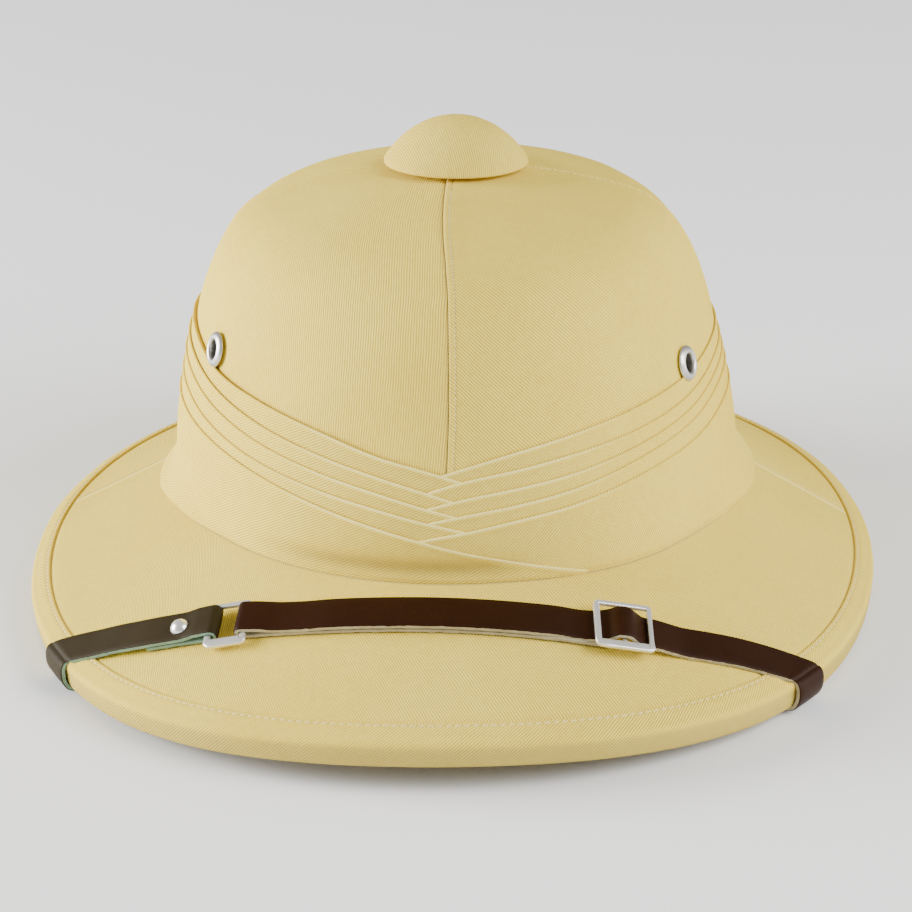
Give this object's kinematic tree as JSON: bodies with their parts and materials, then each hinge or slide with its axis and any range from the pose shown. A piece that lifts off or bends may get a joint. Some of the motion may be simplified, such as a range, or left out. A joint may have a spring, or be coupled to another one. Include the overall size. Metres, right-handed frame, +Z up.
{
  "type": "pith helmet",
  "caption": "Cloth-covered sun helmet with a tall domed crown, a crossed pleated band, a sloping bound brim, a covered top button, side eyelets and a buckled leather chin strap over the brim.",
  "frame": {"origin": "bottom centre of the bounding box, on the surface the helmet rests on", "axes": "+Z up; -Y towards the front, where the strap and the crossed pleats are; +X towards the side with the slider buckle"},
  "size_m": [0.2926, 0.333, 0.1603],
  "materials": {
    "khaki_twill": "matte cotton twill",
    "khaki_binding": "matte cotton twill, cut on the bias",
    "leather_brown": "smooth, lightly polished",
    "leather_olive": "smooth, dull",
    "nickel": "nickel plated, slightly worn"
  },
  "bodies": {
    "root": {"crown_panel_front_left": "khaki_twill", "crown_panel_front_right": "khaki_twill", "crown_panel_back_left": "khaki_twill", "crown_panel_back_right": "khaki_twill", "brim_front": "khaki_twill", "brim_back": "khaki_twill", "brim_binding": "khaki_binding", "puggaree_left_fold_1": "khaki_twill", "puggaree_left_fold_2": "khaki_twill", "puggaree_left_fold_3": "khaki_twill", "puggaree_left_fold_4": "khaki_twill", "puggaree_left_band": "khaki_twill", "puggaree_right_fold_1": "khaki_twill", "puggaree_right_fold_2": "khaki_twill", "puggaree_right_fold_3": "khaki_twill", "puggaree_right_fold_4": "khaki_twill", "puggaree_right_band": "khaki_twill", "top_button": "khaki_twill", "eyelet_left": "nickel", "eyelet_right": "nickel", "short_strap": "leather_olive", "long_strap": "leather_brown", "strap_ring": "nickel", "slider_buckle": "nickel", "strap_rivet": "nickel", "strap_anchor_left": "nickel", "strap_anchor_right": "nickel"}
  },
  "joints": []
}
